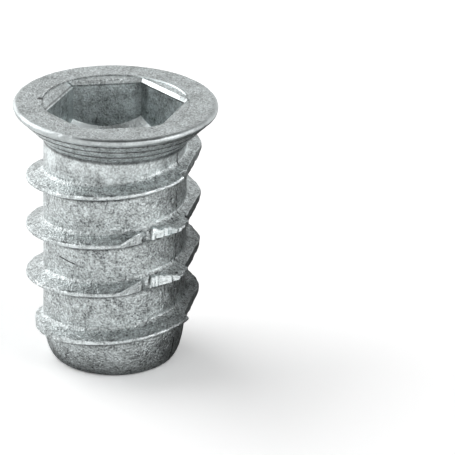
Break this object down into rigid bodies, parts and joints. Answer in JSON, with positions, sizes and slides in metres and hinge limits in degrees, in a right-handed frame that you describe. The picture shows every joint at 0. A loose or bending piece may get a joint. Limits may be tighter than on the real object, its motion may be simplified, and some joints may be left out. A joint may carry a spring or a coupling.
{
  "type": "threaded insert",
  "caption": "Flanged threaded insert for wood: cast zinc body with a coarse outer thread, a hex drive socket and a through bore tapped for an M10 bolt.",
  "frame": {"origin": "middle of the foot, on the axis, at the bottom of the insert", "axes": "+Z along the axis from the foot up to the drive face, -Y towards the side with the gate marks on its left"},
  "size_m": [0.0184, 0.0184, 0.0245],
  "materials": {
    "cast_zinc": "matte bare die-cast zinc, fine-grained, bright where it is worn"
  },
  "bodies": {
    "root": {"threaded_insert": "cast_zinc"}
  },
  "joints": []
}
